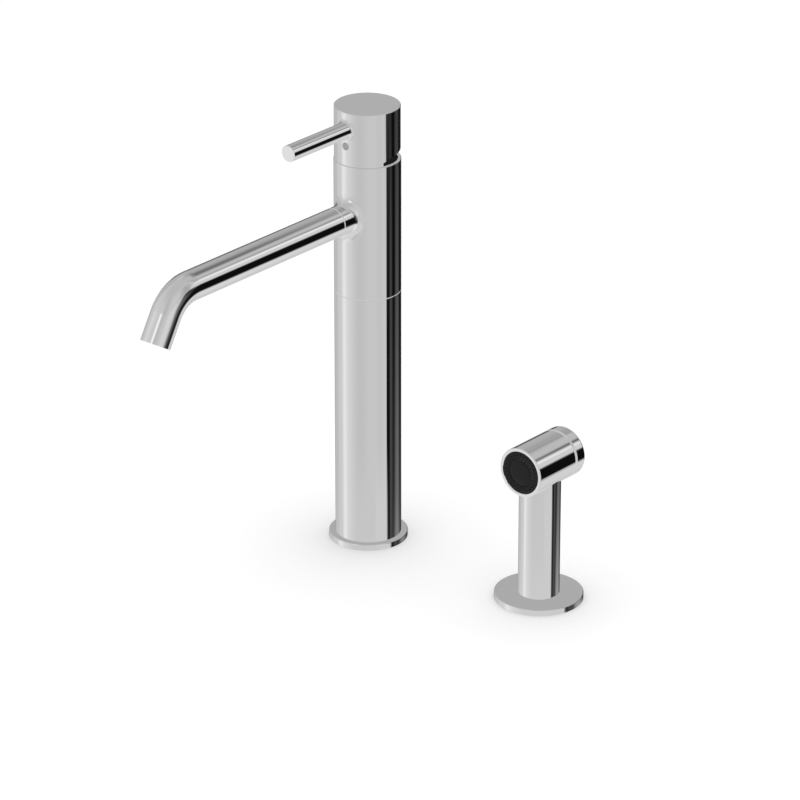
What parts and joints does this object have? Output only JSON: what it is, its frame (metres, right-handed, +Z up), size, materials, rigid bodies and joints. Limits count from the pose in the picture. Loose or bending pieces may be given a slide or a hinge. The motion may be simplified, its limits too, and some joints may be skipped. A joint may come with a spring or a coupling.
{
  "type": "side spray kitchen faucet",
  "caption": "Tall chrome single-lever kitchen mixer with a swivelling spout bent down at its end, and a separate side spray that stands in its own deck flange and has a push button.",
  "frame": {"origin": "the mixer's axis at deck level, in the middle of its foot", "axes": "+Z up; -Y towards the user, the way the spout and the lever point; +X towards the side spray, whose axis is 150 mm from the mixer's"},
  "size_m": [0.207, 0.248, 0.3152],
  "materials": {
    "chrome": "brass, turned or cast, polished and bright chrome plated",
    "brass": "free-cutting brass, as turned",
    "copper": "drawn copper tube",
    "stainless": "stainless steel, as turned or drawn",
    "seal_rubber": "moulded EPDM, matt black",
    "nozzle_rubber": "moulded silicone rubber, satin black",
    "acetal": "moulded acetal, white",
    "ptfe": "skived PTFE, white",
    "grey_plastic": "moulded grey plastic",
    "dark_plastic": "moulded dark grey plastic",
    "ceramic": "ground and lapped alumina ceramic"
  },
  "bodies": {
    "fixed_set": {"base_flange": "chrome", "base_seal": "seal_rubber", "base_bush": "brass", "riser_column": "chrome", "hot_feed_tube": "copper", "cold_feed_tube": "copper", "spray_feed_tube": "copper", "feed_plug": "brass", "valve_core": "brass", "core_seals": "seal_rubber", "swivel_stop_screw": "stainless", "lower_slide_ring": "ptfe", "upper_slide_ring": "ptfe", "diverter_seat": "acetal", "diverter_spring": "stainless", "cartridge_foot": "grey_plastic", "cartridge_port_seals": "seal_rubber", "fixed_disc": "ceramic", "cartridge_housing": "grey_plastic", "cartridge_nut": "brass", "trim_ring": "dark_plastic", "spray_flange": "chrome", "spray_holder": "brass", "spray_flange_seal": "seal_rubber"},
    "spout": {"swivel_sleeve": "chrome", "spout_tube": "chrome", "spout_seal": "seal_rubber", "aerator_housing": "chrome", "aerator_insert": "acetal", "aerator_seal": "seal_rubber"},
    "turret": {"lever_turret": "acetal", "pivot_pin": "stainless"},
    "lever": {"lever_cap": "chrome", "lever_rod": "chrome", "grub_screw": "stainless", "index_plug": "grey_plastic", "spindle": "stainless"},
    "disc": {"moving_disc": "ceramic", "disc_carrier": "acetal"},
    "diverter": {"diverter_piston": "acetal"},
    "spray_guide": {"hose_guide": "acetal"},
    "handset": {"handset_body": "chrome", "hose_socket": "brass", "hose_socket_seal": "seal_rubber", "nozzle_face": "nozzle_rubber", "spray_plate": "acetal", "valve_seat": "acetal", "gland_seal": "seal_rubber", "button_spring": "stainless"},
    "button": {"button_cap": "chrome", "valve_poppet": "stainless", "poppet_seal": "seal_rubber"}
  },
  "joints": [
    {"name": "spout_swivel", "type": "hinge", "parent": "fixed_set", "child": "spout", "pos_m": [0, 0, 0.2409], "axis": [0, 0, 1], "range_deg": [-70, 70]},
    {"name": "lever_turn", "type": "hinge", "parent": "fixed_set", "child": "turret", "pos_m": [0, 0, 0.2765], "axis": [0, 0, 1], "range_deg": [-45, 45]},
    {"name": "lever_lift", "type": "hinge", "parent": "turret", "child": "lever", "pos_m": [0, 0, 0.2765], "axis": [-1, 0, 0], "range_deg": [0, 18]},
    {"name": "disc_slide", "type": "slide", "parent": "turret", "child": "disc", "axis": [0, -1, 0], "range_m": [0, 0.0028]},
    {"name": "spray_turn", "type": "hinge", "parent": "fixed_set", "child": "spray_guide", "pos_m": [0.15, 0, 0.02], "axis": [0, 0, 1], "continuous": true},
    {"name": "spray_lift", "type": "slide", "parent": "spray_guide", "child": "handset", "axis": [0, 0, 1], "range_m": [0, 0.12]},
    {"name": "button_press", "type": "slide", "parent": "handset", "child": "button", "axis": [0, -1, 0], "range_m": [0, 0.0014], "stiffness_N_per_m": 1500, "springref_m": -0.002, "deforming": ["button_spring"]},
    {"name": "diverter_slide", "type": "slide", "parent": "fixed_set", "child": "diverter", "axis": [0, 0, -1], "range_m": [0, 0.0052], "deforming": ["diverter_spring"]}
  ],
  "couplings": [
    {"joint": "disc_slide", "follows": "lever_lift", "m_per_rad": 0.0085},
    {"joint": "diverter_slide", "follows": "button_press", "ratio": 3.714}
  ]
}
